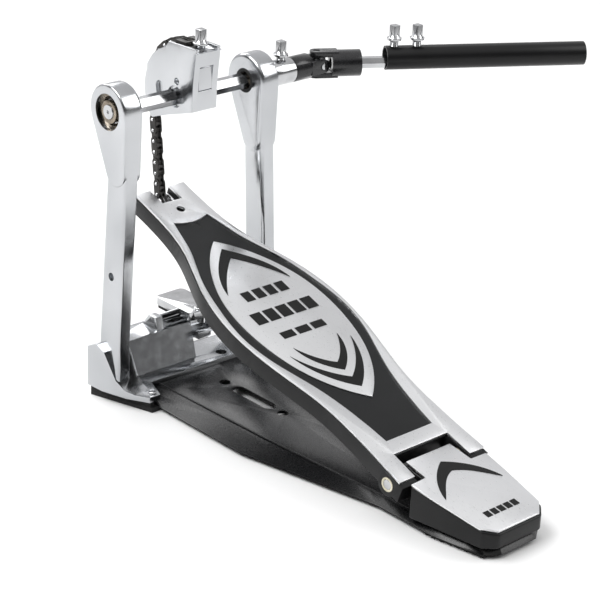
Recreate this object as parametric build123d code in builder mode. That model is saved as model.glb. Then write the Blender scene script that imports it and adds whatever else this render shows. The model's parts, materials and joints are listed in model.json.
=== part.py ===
from build123d import *
import os
from math import asin, atan, atan2, cos, degrees, pi, radians, sin, sqrt

os.makedirs("parts", exist_ok=True)

# The pedal stands on the floor at Z = 0. The camshaft lies along X at Y = 0, the heel
# is towards -Y, the toe and the drum towards +Y, and X = 0 is the middle of the board.
# All sizes are in millimetres and degrees.

# ---- camshaft, bearings and posts ----
shaft_height = 214.5
shaft_hex = 10.0
journal_r = 5.0
head_inner = 53.5
head_length = 16.5
head_r = 19.5
bearing_outer_r = 13.0
bearing_width = 8.0
bearing_recess = 4.5
ring_wall = 2.2
ball_r = 2.35
balls_per_bearing = 8
lip_r = 9.0
seal_length = 2.5
running_gap = 0.05

stem_top_height = 200.0
stem_foot_height = 16.0
stem_depth = 22.0
stem_front = 3.0
stem_width = 12.0
stem_splay = 7.5
stem_bolt_height = 96.0

# ---- frame casting ----
foot_bottom = 8.0
foot_outer = 80.0
foot_rear_outer = 64.0
foot_front = 9.5
foot_rear = -42.0
foot_inner = 56.0
ledge_height = 12.0
ledge_front = -22.0
web_foot = -9.0
web_top = -1.5
web_wall = 4.0
bridge_height = 38.0
bridge_wall = 4.0
bridge_front = 20.0
web_end = 6.0
pin_lug_y = -37.0

# ---- base plate and rubber ----
plate_top = 8.3
plate_wall = 2.0
plate_skirt = 3.5
plate_front = 19.0
plate_half_front = 57.0
plate_half_rear = 34.0
plate_half_end = 16.0
plate_waist_y = -131.0
plate_narrow_y = -243.0
plate_bead_front = 41.0
plate_bead_rear = 28.0
slot_width = 10.0
slot_length = 42.0
slot_y = -81.0
base_hole_r = 4.0
base_hole_span = 63.0
base_hole_mid = -80.7
rear_end = -337.0
heel_pad_front = -284.0
rib_pitch = 6.0
rib_width = 3.0

# ---- heel ----
heel_slope = 10.54
heel_height_at_axis = 83.2
heel_skin = 1.6
heel_block_front = -273.0
heel_half_front = 35.6
heel_half_rear = 28.0
tab_front = -253.3
tab_half = 20.4
knuckle_half = 21.5
knuckle_r = 6.4

# ---- board hinge ----
hinge_y = -256.5
hinge_z = 27.0
hinge_pin_r = 3.5
bush_r = 5.0
boss_r = 8.5

# ---- board ----
board_slope = 19.04
board_height = 125.0
board_depth = 14.0
board_skin = 2.0
board_deck = 5.0
board_rear = -283.0
board_nose = 31.0
nose_r = 10.0
fork_front = -261.0
fork_inner = 25.2
board_slot_half = 9.0
board_slot_rear = 15.0
recess_depth = 1.2
lens_rise = 0.8
nose_hole_s = 4.7
nose_hole_r = 3.2
clevis_screw_s = -14.2

# ---- chain ----
pitch = 8.0
chain_r = 37.5
run_links = 11
wrap_links = 8
moving_links = 4
plate_height = 6.4
link_wall = 0.8
roller_r = 2.5
link_pin_r = 1.2
inner_gap = 1.2
loose_gap = 0.27
chain_pin_y = 27.5
chain_pin_r = 2.0
eye_hole_r = 5.0
eye_r = 7.5

# ---- cam ----
cam_half = 11.0
cam_wall = 3.0
drum_r = 33.7
cam_bolt_y = -14.2
cam_pocket_front = -7.0
cam_back = -22.6

# ---- universal joint, rod and tube ----
yoke_start = 97.0
joint_x = 123.6
joint_r = 9.5
joint_bend = 30.5
ear_r = 5.2
ear_inner = 5.6
arm_inner = 6.0
cross_half = 5.0
cross_pin_r = 2.5
input_hub_length = 16.5
output_hub_start = 10.0
output_hub_end = 33.0
rod_hex = 8.0
rod_end = 125.0
tube_r = 9.0
tube_bore_r = 7.6
tube_start = 52.5
tube_length = 155.0
tube_lift = 3.15

# ---- drum-key bolts ----
key_square = 6.0
key_head = 9.0
key_flange_r = 5.5
key_flange = 1.4
key_cone = 2.6
key_thread_r = 3.0

# ---- hoop clamp ----
jaw_left = 0.0
jaw_right = 26.0
jaw_pin_y = 6.0
jaw_pin_z = 44.0
jaw_pin_r = 2.0
jaw_rear = -9.0
jaw_front = 33.0
jaw_wall = 6.0
lug_width = 6.0
lug_left = -24.0
lug_right = 32.0
clamp_bolt_y = -5.8
anvil_height = 31.0
mouth_floor = 29.0
mouth_rear = 10.5


# ---- planes and small shape helpers ----
board = Plane(
    origin=(0, 0, board_height),
    x_dir=(1, 0, 0),
    z_dir=(0, -sin(radians(board_slope)), cos(radians(board_slope))),
)
board_side = Plane(
    origin=(0, 0, board_height),
    x_dir=(0, cos(radians(board_slope)), sin(radians(board_slope))),
    z_dir=(1, 0, 0),
)
heel = Plane(
    origin=(0, 0, heel_height_at_axis),
    x_dir=(1, 0, 0),
    z_dir=(0, -sin(radians(heel_slope)), cos(radians(heel_slope))),
)
heel_side = Plane(
    origin=(0, 0, heel_height_at_axis),
    x_dir=(0, cos(radians(heel_slope)), sin(radians(heel_slope))),
    z_dir=(1, 0, 0),
)


def across(x):
    """Plane square to the camshaft at a distance x, with its local axes along Y and Z."""
    return Plane.YZ.offset(x)


def drive(distance, lift=0.0):
    """Plane square to the drive rod at a distance from the universal joint's centre."""
    bend = radians(joint_bend)
    direction = Vector(cos(bend), -sin(bend), 0)
    centre = Vector(joint_x, 0, shaft_height + lift) + direction * distance
    return Plane(origin=centre, x_dir=(sin(bend), cos(bend), 0), z_dir=direction)


def hexagon(across_flats):
    """Hexagon with flats above and below, from its size across flats."""
    RegularPolygon(across_flats / 2, 6, major_radius=False, rotation=0)


def key_bolt(base, thread_length):
    """Drum-key bolt that stands on a plane: thread below the flange, square head above."""
    with BuildPart() as bolt:
        with BuildSketch(base.offset(-thread_length)):
            Circle(key_thread_r)
        extrude(amount=thread_length)
        with BuildSketch(base):
            Circle(key_flange_r)
        extrude(amount=key_flange)
        with BuildSketch(base.offset(key_flange)):
            Circle(key_flange_r - 0.8)
        with BuildSketch(base.offset(key_flange + key_cone)):
            Circle(key_square / 2)
        loft()
        with BuildSketch(base.offset(key_flange + 0.5)):
            RectangleRounded(key_square, key_square, 0.8)
        extrude(amount=key_head)
    return bolt.part


# ---- chain geometry: a straight run from the board's chain pin, tangent to the cam ----
run_length = run_links * pitch
pin_drop = sqrt(run_length**2 + chain_r**2 - chain_pin_y**2)
chain_pin_z = shaft_height - pin_drop
pin_angle = atan2(-pin_drop, chain_pin_y)
tangent_angle = pin_angle + atan2(run_length, chain_r)
link_angle = 2 * asin(pitch / 2 / chain_r)


def chain_point(index):
    """Centre of a chain pin: 0 is where the chain meets the cam, -run_links is on the board."""
    if index >= 0:
        turn = tangent_angle + index * link_angle
        return (chain_r * cos(turn), shaft_height + chain_r * sin(turn))
    run_y = chain_r * cos(tangent_angle) - chain_pin_y
    run_z = shaft_height + chain_r * sin(tangent_angle) - chain_pin_z
    share = 1 + index / run_links
    return (chain_pin_y + run_y * share, chain_pin_z + run_z * share)


def link(index):
    """Link between pins index - 1 and index; even links are roller links, odd ones carry pins."""
    low_y, low_z = chain_point(index - 1)
    high_y, high_z = chain_point(index)
    middle = (0, (low_y + high_y) / 2, (low_z + high_z) / 2)
    flat = Plane(origin=middle, x_dir=(0, high_y - low_y, high_z - low_z), z_dir=(1, 0, 0))
    ends = [(-pitch / 2, 0), (pitch / 2, 0)]
    is_roller_link = index % 2 == 0
    start = inner_gap if is_roller_link else inner_gap + link_wall + 0.15
    reach = start + link_wall
    gap = loose_gap if 0 <= index < moving_links else running_gap
    with BuildPart() as one_link:
        for side in (start, -reach):
            with BuildSketch(flat.offset(side)):
                SlotCenterToCenter(pitch, plate_height)
            extrude(amount=link_wall)
        if is_roller_link:
            with BuildSketch(flat.offset(-inner_gap)):
                with Locations(*ends):
                    Circle(roller_r)
            extrude(amount=2 * inner_gap)
            with BuildSketch(flat.offset(-reach)):
                with Locations(*ends):
                    Circle(link_pin_r + gap)
            extrude(amount=2 * reach, mode=Mode.SUBTRACT)
        else:
            with BuildSketch(flat.offset(-reach - 0.35)):
                with Locations(*ends):
                    Circle(link_pin_r)
            extrude(amount=2 * reach + 0.7)
    return one_link.part


# ======== frame ========
def pan(inset, low, high):
    """Sloping-sided plate between two heights: its skirt outline is wider than its top."""
    narrow = plate_half_rear - inset
    wide = plate_half_front - inset
    bead = plate_bead_front - inset
    bead_rear = plate_bead_rear - inset
    waist_share = (plate_front - plate_waist_y) / (plate_front - plate_narrow_y)
    skirt = [
        (wide, plate_front - inset),
        (wide, plate_waist_y),
        (narrow, plate_narrow_y),
        (narrow, -290),
        (narrow - 7, rear_end + 8 + inset),
        (plate_half_end - inset, rear_end + inset),
    ]
    top = [
        (bead, plate_front - inset),
        (bead + (bead_rear - bead) * waist_share, plate_waist_y),
        (bead_rear, plate_narrow_y),
        (bead_rear, -290),
        (bead_rear - 5, rear_end + 11 + inset),
        (plate_half_end - 2 - inset, rear_end + 5 + inset),
    ]
    with BuildPart() as body:
        for height, half in ((low, skirt), (high, top)):
            outline = half + [(-x, y) for x, y in reversed(half)]
            with BuildSketch(Plane.XY.offset(height)):
                with BuildLine():
                    Polyline(*outline, close=True)
                make_face()
        loft(ruled=True)
    return body.part


with BuildPart() as base_plate:
    add(pan(0, plate_skirt, plate_top))
    add(pan(plate_wall * 1.6, plate_skirt - 0.1, plate_top - plate_wall), mode=Mode.SUBTRACT)
    with BuildSketch(Plane.XY):
        with Locations((0, base_hole_mid)):
            with GridLocations(0, base_hole_span, 1, 2):
                Circle(base_hole_r)
        with Locations((0, slot_y)):
            SlotOverall(slot_length, slot_width, rotation=90)
    extrude(amount=plate_top + 1, mode=Mode.SUBTRACT)
base_plate.part.label = "base_plate"
export_step(base_plate.part, "parts/base_plate.step")

with BuildPart() as front_pad:
    with BuildSketch(Plane.XY):
        Rectangle(2 * (plate_bead_front - 5), 28)
    extrude(amount=plate_top - plate_wall)
    with BuildSketch(Plane.XY):
        with BuildLine():
            Polyline(
                (-foot_outer + 1.5, foot_front - 1.5),
                (-foot_rear_outer + 1.5, foot_rear - 1),
                (-foot_inner + 5, foot_rear - 1),
                (-foot_inner - 2.5, -18),
                (-foot_inner - 2.5, foot_front - 1.5),
                close=True,
            )
        make_face()
        mirror(about=Plane.YZ)
    extrude(amount=plate_skirt)
    with BuildSketch(Plane.XY):
        with BuildLine():
            Polyline(
                (-foot_outer + 1.5, foot_front - 1.5),
                (-foot_rear_outer + 1.5, foot_rear + 1.5),
                (-foot_inner - 2.5, foot_rear + 1.5),
                (-foot_inner - 2.5, foot_front - 1.5),
                close=True,
            )
        make_face()
        mirror(about=Plane.YZ)
    extrude(amount=foot_bottom)
    with BuildSketch(Plane.XY):
        Rectangle(2 * foot_inner + 8, 12)
    extrude(amount=plate_skirt - 0.4)
front_pad.part.label = "front_pad"
export_step(front_pad.part, "parts/front_pad.step")

with BuildPart() as heel_pad:
    for low, high, trim in ((rib_width / 2, plate_skirt - 0.1, 0), (plate_skirt - 0.1, plate_top - plate_wall, 10)):
        half = [
            (plate_half_rear - 2 - trim, heel_pad_front),
            (plate_half_rear - 2 - trim, -291),
            (plate_half_rear - 8 - trim, rear_end + 9 + trim * 0.8),
            (plate_half_end - trim, rear_end + 3 + trim * 0.8),
        ]
        outline = half + [(-x, y) for x, y in reversed(half)]
        with BuildSketch(Plane.XY.offset(low)):
            with BuildLine():
                Polyline(*outline, close=True)
            make_face()
        extrude(amount=high - low)
    rib_count = int((heel_pad_front - rear_end - 9) / rib_pitch) + 1
    for index in range(rib_count):
        rib_y = heel_pad_front - rib_width / 2 - index * rib_pitch
        rib_half = plate_half_rear - 2.5 - max(0, -291 - rib_y) * 0.2
        with BuildSketch(Plane.XY):
            with Locations((0, rib_y)):
                Rectangle(2 * rib_half, rib_width)
        extrude(amount=rib_width)
heel_pad.part.label = "heel_pad"
export_step(heel_pad.part, "parts/heel_pad.step")

foot_profile = [
    (foot_front, foot_bottom),
    (foot_front, 38.5),
    (0.5, 43),
    (-7.5, 39),
    (-17.5, 19.5),
    (-24.5, 14),
    (-32, ledge_height),
    (foot_rear, ledge_height),
    (foot_rear, foot_bottom),
]

with BuildPart() as frame_casting:
    # left foot: side profile cut to its tapering plan, then mirrored
    with BuildSketch(across(-foot_outer)):
        with BuildLine():
            Polyline(*foot_profile, close=True)
        make_face()
    extrude(amount=foot_outer - foot_inner)
    with BuildSketch(Plane.XY.offset(foot_bottom)):
        with BuildLine():
            Polyline(
                (-foot_outer, foot_front),
                (-foot_outer + 1, -6),
                (-foot_outer + 7, -26),
                (-foot_rear_outer, foot_rear),
                (-foot_inner + 4, foot_rear),
                (-foot_inner + 4, foot_front),
                close=True,
            )
        make_face()
    extrude(amount=40, mode=Mode.INTERSECT)
    fillet(frame_casting.edges().filter_by(Axis.X).group_by(Axis.Z)[-1], 2.5)
    # pin lug between the foot and the lower ledge
    with BuildSketch(Plane.XY.offset(plate_top)):
        with BuildLine():
            Polyline(
                (-foot_inner - 2, foot_rear),
                (-54.5, foot_rear),
                (-47, ledge_front - 1),
                (-47, web_foot),
                (-foot_inner - 2, web_foot),
                close=True,
            )
        make_face()
    extrude(amount=ledge_height - plate_top)
    mirror(about=Plane.YZ)
    # lower ledge on the base plate
    with BuildSketch(Plane.XY.offset(plate_top)):
        with Locations((0, (ledge_front + 12) / 2)):
            Rectangle(2 * foot_inner, 12 - ledge_front)
    extrude(amount=ledge_height - plate_top)
    # upright web, which stops right of the middle, and a short web beside the right foot
    web = [
        (web_foot, ledge_height - 1),
        (web_top, bridge_height),
        (web_top + web_wall, bridge_height),
        (web_foot + web_wall, ledge_height - 1),
    ]
    for left, right in ((-foot_inner, web_end), (foot_inner - 14, foot_inner)):
        with BuildSketch(across(left)):
            with BuildLine():
                Polyline(*web, close=True)
            make_face()
        extrude(amount=right - left)
    # top flange and the two closing walls at the feet
    with BuildSketch(Plane.XY.offset(bridge_height - bridge_wall)):
        with Locations((0, (web_top + bridge_front) / 2)):
            Rectangle(2 * foot_inner, bridge_front - web_top)
    extrude(amount=bridge_wall)
    for left in (-foot_inner, foot_inner - 5):
        with BuildSketch(across(left)):
            with BuildLine():
                Polyline(
                    (web_foot, plate_top + 1),
                    (web_top, bridge_height),
                    (bridge_front, bridge_height),
                    (bridge_front, bridge_height - 8),
                    (12, plate_top + 1),
                    close=True,
                )
            make_face()
        extrude(amount=5)
    # mouth for the drum's hoop: the flange is cut back above a lower bed
    with BuildSketch(Plane.XY.offset(bridge_height - bridge_wall - 1)):
        with Locations(((jaw_left + jaw_right) / 2, mouth_rear)):
            Rectangle(jaw_right - jaw_left, 30, align=(Align.CENTER, Align.MIN))
    extrude(amount=bridge_wall + 2, mode=Mode.SUBTRACT)
    with BuildSketch(Plane.XY.offset(mouth_floor - bridge_wall)):
        with Locations(((jaw_left + jaw_right) / 2, web_top - 2)):
            Rectangle(jaw_right - jaw_left + 10, jaw_front - web_top + 2, align=(Align.CENTER, Align.MIN))
    extrude(amount=bridge_wall)
    for left in (jaw_left - 5, jaw_right):
        with BuildSketch(across(left)):
            with BuildLine():
                Polyline(
                    (web_top, mouth_floor - bridge_wall),
                    (web_top, bridge_height),
                    (bridge_front, bridge_height),
                    (jaw_front, mouth_floor + 3),
                    (jaw_front, mouth_floor - bridge_wall),
                    close=True,
                )
            make_face()
        extrude(amount=5)
    # hinge lugs of the hoop jaw
    for left in (lug_left, lug_right):
        with BuildSketch(across(left)):
            with BuildLine():
                Polyline(
                    (jaw_pin_y - 6, bridge_height - 1),
                    (jaw_pin_y - 4, jaw_pin_z + 3.5),
                    (jaw_pin_y + 4, jaw_pin_z + 3.5),
                    (jaw_pin_y + 12, bridge_height - 1),
                    close=True,
                )
            make_face()
        extrude(amount=lug_width)
    with BuildSketch(across(lug_left)):
        with Locations((jaw_pin_y, jaw_pin_z)):
            Circle(jaw_pin_r)
    extrude(amount=lug_right + lug_width - lug_left, mode=Mode.SUBTRACT)
    # seats of the posts, which stand in the feet
    for side in (-1, 1):
        with BuildSketch(Plane.XY.offset(stem_foot_height)):
            with Locations((side * (foot_outer - 4 - stem_width / 2 - 1), stem_front - stem_depth / 2)):
                RectangleRounded(stem_width, stem_depth, 3)
        extrude(amount=40, mode=Mode.SUBTRACT)
    # holes: hinge pins of the base, ledge hole, clamp bolt and post bolts
    with BuildSketch(Plane.XY):
        with Locations((-57.5, pin_lug_y), (57.5, pin_lug_y)):
            Circle(1.8)
        with Locations((26, -14)):
            Circle(4.2)
        with Locations((-foot_outer + 11, stem_front - stem_depth / 2)):
            Circle(3)
        with Locations((foot_outer - 11, stem_front - stem_depth / 2)):
            Circle(3)
    extrude(amount=bridge_height - 10, mode=Mode.SUBTRACT)
    # anvil under the clamp bolt
    with BuildSketch(Plane.XY.offset(mouth_floor - 3)):
        with Locations(((jaw_left + jaw_right) / 2, (clamp_bolt_y - 4 + web_top) / 2)):
            Rectangle(12, web_top + 4 - clamp_bolt_y)
    extrude(amount=anvil_height - mouth_floor + 3)
frame_casting.part.label = "frame_casting"
export_step(frame_casting.part, "parts/frame_casting.step")

stem_mid_y = stem_front - stem_depth / 2
foot_stem_x = foot_outer - 4 - stem_width / 2 - 1
top_stem_x = foot_stem_x - stem_splay

with BuildPart() as left_post:
    # bearing head, drawn as a drop that runs down into the stem
    with BuildSketch(across(-head_inner - head_length)):
        with Locations((0, shaft_height)):
            Circle(head_r)
        with Locations((stem_mid_y, shaft_height - 42)):
            Circle(stem_depth / 2 - 1)
        make_hull()
    extrude(amount=head_length)
    fillet(left_post.edges().group_by(Axis.X)[0], 1.5)
    fillet(left_post.edges().group_by(Axis.X)[-1], 3.0)
    # stem, splayed outwards to the foot
    with BuildSketch(Plane.XY.offset(stem_foot_height + 0.02)):
        with Locations((-foot_stem_x, stem_mid_y)):
            RectangleRounded(stem_width, stem_depth, 3)
    with BuildSketch(Plane.XY.offset(44)):
        with Locations((-foot_stem_x, stem_mid_y)):
            RectangleRounded(stem_width, stem_depth, 3)
    loft()
    with BuildSketch(Plane.XY.offset(44)):
        with Locations((-foot_stem_x, stem_mid_y)):
            RectangleRounded(stem_width, stem_depth, 3)
    with BuildSketch(Plane.XY.offset(stem_top_height - 12)):
        with Locations((-top_stem_x, stem_mid_y)):
            RectangleRounded(stem_width + 1, stem_depth - 2, 3)
    loft()
    # bearing bore with its inner lip, seal seat and the threaded hole in the stem
    with BuildSketch(across(-head_inner - head_length)):
        with Locations((0, shaft_height)):
            Circle(bearing_outer_r)
    extrude(amount=bearing_recess + bearing_width, mode=Mode.SUBTRACT)
    with BuildSketch(across(-head_inner - head_length)):
        with Locations((0, shaft_height)):
            Circle(lip_r)
    extrude(amount=head_length, mode=Mode.SUBTRACT)
    with BuildSketch(across(-foot_outer)):
        with Locations((stem_mid_y, stem_bolt_height)):
            Circle(3)
    extrude(amount=12.5, mode=Mode.SUBTRACT)
    with BuildSketch(Plane.XY):
        with Locations((-foot_outer + 11, stem_mid_y)):
            Circle(3)
    extrude(amount=36, mode=Mode.SUBTRACT)
left_post.part.label = "left_post"
export_step(left_post.part, "parts/left_post.step")

with BuildPart() as right_post:
    mirror(left_post.part, about=Plane.YZ)
right_post.part.label = "right_post"
export_step(right_post.part, "parts/right_post.step")

with BuildPart() as post_bolts:
    for side in (-1, 1):
        with BuildSketch(Plane.XY.offset(foot_bottom)):
            with Locations((side * (foot_outer - 11), stem_mid_y)):
                Circle(3 - running_gap)
        extrude(amount=26)
post_bolts.part.label = "post_bolts"
export_step(post_bolts.part, "parts/post_bolts.step")

with BuildPart() as frame_pins:
    for side in (-1, 1):
        with BuildSketch(Plane.XY.offset(plate_top)):
            with Locations((side * 57.5, pin_lug_y)):
                Circle(1.8)
        extrude(amount=ledge_height - plate_top)
        with BuildSketch(Plane.XY.offset(ledge_height)):
            with Locations((side * 57.5, pin_lug_y)):
                Circle(2.8)
        extrude(amount=1.0)
frame_pins.part.label = "frame_pins"
export_step(frame_pins.part, "parts/frame_pins.step")

# ======== bearings ========
bearing_start = head_inner + head_length - bearing_recess - bearing_width
race_mid = (bearing_outer_r + journal_r) / 2

with BuildPart() as bearing_outers:
    for left in (-bearing_start - bearing_width, bearing_start):
        with BuildSketch(across(left)):
            with Locations((0, shaft_height)):
                Circle(bearing_outer_r)
                Circle(bearing_outer_r - ring_wall, mode=Mode.SUBTRACT)
        extrude(amount=bearing_width)
bearing_outers.part.label = "bearing_outers"
export_step(bearing_outers.part, "parts/bearing_outers.step")

with BuildPart() as bearing_inners:
    for left in (-bearing_start - bearing_width, bearing_start):
        with BuildSketch(across(left)):
            with Locations((0, shaft_height)):
                Circle(journal_r + ring_wall - 0.7)
                Circle(journal_r, mode=Mode.SUBTRACT)
        extrude(amount=bearing_width)
bearing_inners.part.label = "bearing_inners"
export_step(bearing_inners.part, "parts/bearing_inners.step")

ball_ring_r = (bearing_outer_r - ring_wall + journal_r + ring_wall - 0.7) / 2
with BuildPart() as bearing_balls:
    for middle in (-bearing_start - bearing_width / 2, bearing_start + bearing_width / 2):
        for index in range(balls_per_bearing):
            turn = 2 * pi * index / balls_per_bearing
            at_y = ball_ring_r * cos(turn)
            at_z = shaft_height + ball_ring_r * sin(turn)
            with Locations((middle, at_y, at_z)):
                Sphere(2.1)
bearing_balls.part.label = "bearing_balls"
export_step(bearing_balls.part, "parts/bearing_balls.step")

with BuildPart() as shaft_seals:
    for left in (-head_inner - seal_length, head_inner):
        with BuildSketch(across(left)):
            with Locations((0, shaft_height)):
                Circle(lip_r)
                Circle(journal_r + 1.3, mode=Mode.SUBTRACT)
        extrude(amount=seal_length)
shaft_seals.part.label = "shaft_seals"
export_step(shaft_seals.part, "parts/shaft_seals.step")

# ======== heel ========
heel_plan = [
    (heel_half_front, heel_block_front),
    (33.7, -289),
    (heel_half_rear, -329),
    (heel_half_rear - 8, -336.5),
]
heel_cos = cos(radians(heel_slope))

with BuildPart() as heel_block:
    outline = heel_plan + [(-x, y) for x, y in reversed(heel_plan)]
    with BuildSketch(Plane.XY.offset(plate_top)):
        with BuildLine():
            Polyline(*outline, close=True)
        make_face()
    extrude(amount=30)
    fillet(heel_block.edges().filter_by(Axis.Z).group_by(Axis.Y)[0], 6)
    with BuildSketch(heel_side.offset(-60)):
        with Locations((0, -heel_skin)):
            Rectangle(400, 200, align=(Align.MAX, Align.MIN))
    extrude(amount=120, mode=Mode.SUBTRACT)
    # knuckle that holds the hinge pin between the fork's arms
    with BuildSketch(across(-knuckle_half)):
        with Locations((hinge_y, hinge_z)):
            Circle(knuckle_r)
        with BuildLine():
            Polyline(
                (heel_block_front - 1, plate_top),
                (hinge_y - 4, plate_top),
                (hinge_y + 5, hinge_z - 4),
                (hinge_y + 2, hinge_z + 5.8),
                (heel_block_front - 1, hinge_z + 3.0),
                close=True,
            )
        make_face()
    extrude(amount=2 * knuckle_half)
    with BuildSketch(across(-knuckle_half)):
        with Locations((hinge_y, hinge_z)):
            Circle(hinge_pin_r)
    extrude(amount=2 * knuckle_half, mode=Mode.SUBTRACT)
heel_block.part.label = "heel_block"
export_step(heel_block.part, "parts/heel_block.step")

with BuildPart() as heel_plate:
    tab = tab_front / heel_cos
    root = -272.2 / heel_cos
    half = [
        (tab_half, tab),
        (tab_half + 0.8, root),
        (heel_half_front - 0.6, root - 0.6),
        (33.4, -289 / heel_cos),
        (heel_half_rear, -327 / heel_cos),
        (heel_half_rear - 9, -335.5 / heel_cos),
    ]
    outline = half + [(-x, y) for x, y in reversed(half)]
    with BuildSketch(heel.offset(-heel_skin)):
        with BuildLine():
            Polyline(*outline, close=True)
        make_face()
    extrude(amount=heel_skin)
heel_plate.part.label = "heel_plate"
export_step(heel_plate.part, "parts/heel_plate.step")

with BuildPart() as hinge_pin:
    with BuildSketch(across(-40.2)):
        with Locations((hinge_y, hinge_z)):
            Circle(hinge_pin_r)
    extrude(amount=80.4)
hinge_pin.part.label = "hinge_pin"
export_step(hinge_pin.part, "parts/hinge_pin.step")

# the arrow on the heel plate
heel_outer = [(0, -264.8), (10, -271.5), (19.5, -281.5), (26.5, -296)]
heel_inner = [(26.5, -296), (16, -285.5), (8, -279), (0, -275.4)]
with BuildPart() as heel_chevron:
    with BuildSketch(heel):
        with BuildLine():
            Spline(*[(x, y / heel_cos) for x, y in heel_outer])
            Spline(*[(x, y / heel_cos) for x, y in heel_inner])
            Line((0, heel_inner[-1][1] / heel_cos), (0, heel_outer[0][1] / heel_cos))
        make_face()
        mirror(about=Plane.YZ)
    extrude(amount=0.25)
heel_chevron.part.label = "heel_chevron"
export_step(heel_chevron.part, "parts/heel_chevron.step")

# ======== board ========
board_half = [(22.7, 12), (27.9, -34), (42.3, -73), (50.8, -121), (46.4, -162), (38.8, -201), (37.4, -238)]
recess_half = [(19, -21), (23, -36), (35.4, -65), (44.3, -98), (47.6, -128), (42.6, -158), (32, -188), (24, -224)]
boss_s = hinge_y * cos(radians(board_slope)) + (hinge_z - board_height) * sin(radians(board_slope))
boss_h = (hinge_z - board_height) * cos(radians(board_slope)) - hinge_y * sin(radians(board_slope))


def board_outline(trim):
    """Outline of the board seen from above, trimmed inwards all round, as a face."""
    side = [(x - trim, s) for x, s in board_half]
    rear = (40 - trim, board_rear + trim)
    nose = (22.8 - trim, board_nose - trim)
    inner = fork_inner + trim
    with BuildSketch() as face:
        with BuildLine():
            Spline(nose, *side, rear)
            Polyline(rear, (inner, board_rear + trim), (inner - 0.6, fork_front + trim), (0, fork_front + trim))
            Line((0, fork_front + trim), (0, board_nose - trim))
            Line((0, board_nose - trim), nose)
        make_face()
        mirror(about=Plane.YZ)
    return face.sketch


def recess_outline(trim):
    """Outline of the dark panel let into the deck."""
    side = [(x - trim, s) for x, s in recess_half]
    front = (15.4 - trim * 0.7, -7 - trim)
    rear = (21.3 - trim, -249 + trim)
    with BuildSketch() as face:
        with BuildLine():
            Spline(front, *side, rear)
            Line(rear, (0, rear[1]))
            Line((0, rear[1]), (0, front[1] - 3.5))
            ThreePointArc((0, front[1] - 3.5), (front[0] / 2, front[1] - 2.6), front)
        make_face()
        mirror(about=Plane.YZ)
    return face.sketch


with BuildPart() as board_frame:
    with BuildSketch(board.offset(-board_skin)):
        add(board_outline(0))
    extrude(amount=-(board_depth - board_skin))
    with BuildSketch(board.offset(-board_deck)):
        add(board_outline(3.2))
    extrude(amount=-board_depth, mode=Mode.SUBTRACT)
    # bosses of the hinge, with the fork's arms kept solid around them
    for left in (-40, fork_inner):
        with BuildSketch(board_side.offset(left)):
            with Locations((boss_s, boss_h)):
                Circle(boss_r)
            with Locations((boss_s - 3.5, -board_depth / 2 - 1)):
                Rectangle(17, board_depth - 2)
        extrude(amount=40 - fork_inner)
    with BuildSketch(board.offset(-board_skin)):
        with Locations((0, -130)):
            Rectangle(130, 400)
    extrude(amount=6, mode=Mode.SUBTRACT)
    # seat of the clevis under the nose
    with BuildSketch(board.offset(-board_deck + 0.01)):
        with Locations((0, clevis_screw_s)):
            Rectangle(24, 22)
    extrude(amount=-1.5)
    # through-cuts: chain slot, nose hole, clevis screw, hinge bores
    with BuildSketch(board):
        with Locations((0, board_slot_rear)):
            Rectangle(2 * board_slot_half, 40, align=(Align.CENTER, Align.MIN))
        with Locations((0, nose_hole_s)):
            Circle(nose_hole_r)
        with Locations((0, clevis_screw_s)):
            Circle(3.05)
    extrude(amount=-board_depth - 4, mode=Mode.SUBTRACT)
    with BuildSketch(board_side.offset(-45)):
        with Locations((boss_s, boss_h)):
            Circle(bush_r)
    extrude(amount=90, mode=Mode.SUBTRACT)
board_frame.part.label = "board_frame"
export_step(board_frame.part, "parts/board_frame.step")

with BuildPart() as board_deck_plate:
    with BuildSketch(board.offset(-board_skin)):
        add(board_outline(0.4))
        add(recess_outline(0), mode=Mode.SUBTRACT)
    extrude(amount=board_skin)
    with BuildSketch(board):
        with Locations((0, board_slot_rear)):
            Rectangle(2 * board_slot_half, 40, align=(Align.CENTER, Align.MIN))
        with Locations((0, nose_hole_s)):
            Circle(nose_hole_r)
    extrude(amount=-board_skin, mode=Mode.SUBTRACT)
board_deck_plate.part.label = "board_deck"
export_step(board_deck_plate.part, "parts/board_deck.step")

with BuildPart() as recess_panel:
    with BuildSketch(board.offset(-board_skin)):
        add(recess_outline(0.05))
    extrude(amount=board_skin - recess_depth)
    with BuildSketch(board):
        with Locations((0, clevis_screw_s)):
            Circle(3.05)
    extrude(amount=-board_skin, mode=Mode.SUBTRACT)
recess_panel.part.label = "recess_panel"
export_step(recess_panel.part, "parts/recess_panel.step")

lens_half = [(17.7, -53), (29.7, -73), (35.2, -87), (39.7, -126), (37.4, -146), (31, -169), (21, -188)]
with BuildPart() as lens_inlay:
    with BuildSketch(board.offset(-recess_depth)):
        with BuildLine():
            Spline((0, -34.8), *lens_half, (0, -211))
            Line((0, -211), (0, -34.8))
        make_face()
        mirror(about=Plane.YZ)
    extrude(amount=lens_rise)
lens_inlay.part.label = "lens_inlay"
export_step(lens_inlay.part, "parts/lens_inlay.step")

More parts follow.
